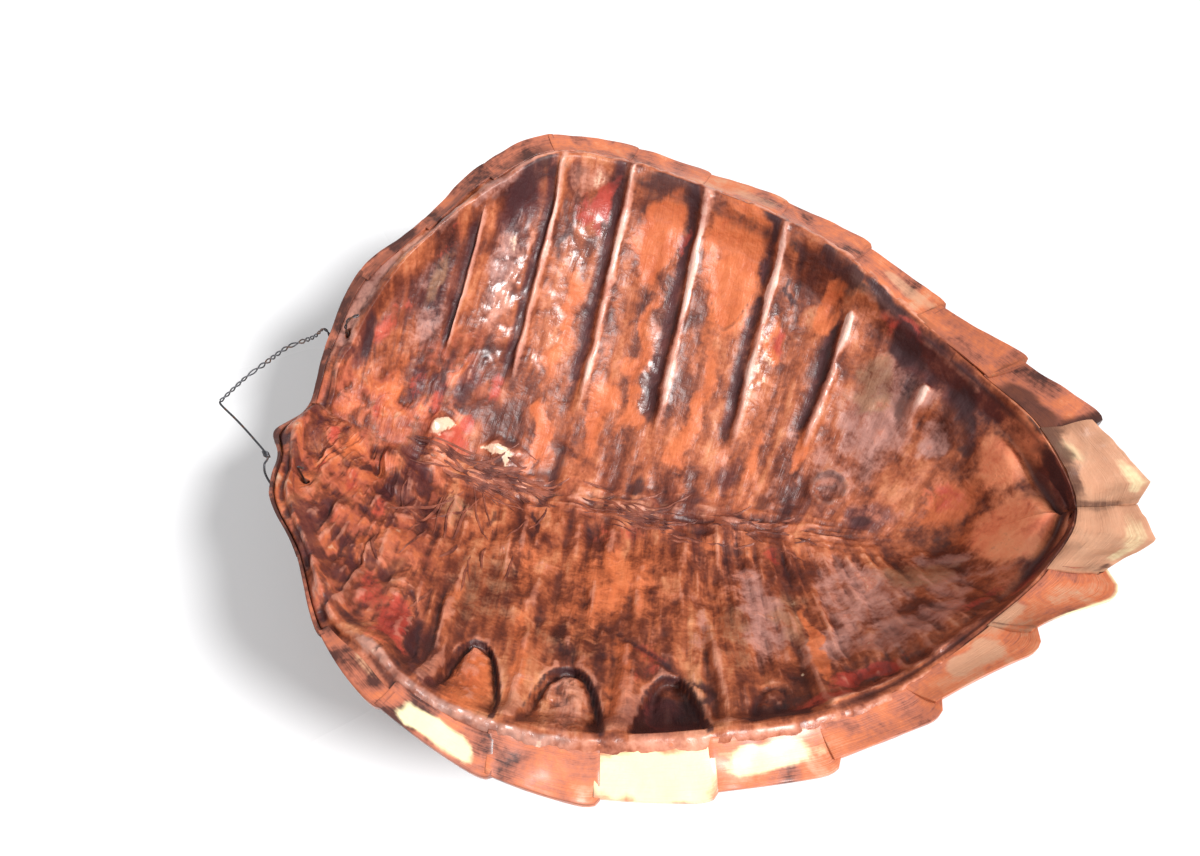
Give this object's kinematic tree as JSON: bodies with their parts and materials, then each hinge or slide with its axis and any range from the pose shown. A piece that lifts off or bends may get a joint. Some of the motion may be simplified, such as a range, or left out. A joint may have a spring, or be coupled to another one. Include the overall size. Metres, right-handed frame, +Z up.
{
  "type": "turtle shell",
  "caption": "Dried, varnished sea-turtle carapace lying on its dome, hollow side up, with saw-toothed rim, ribs inside and a bent hanging wire.",
  "frame": {"origin": "middle of the worn flat on the keel, on which the shell rests", "axes": "+X from the nape to the tail, +Y across the shell, +Z up out of the hollow"},
  "size_m": [0.4048, 0.3184, 0.1204],
  "materials": {
    "bone_and_horn": "varnished bone, dried tissue and horn scutes",
    "hanging_wire": "dull dark picture wire"
  },
  "bodies": {
    "root": {"carapace": "bone_and_horn", "hanging_wire": "hanging_wire"}
  },
  "joints": []
}
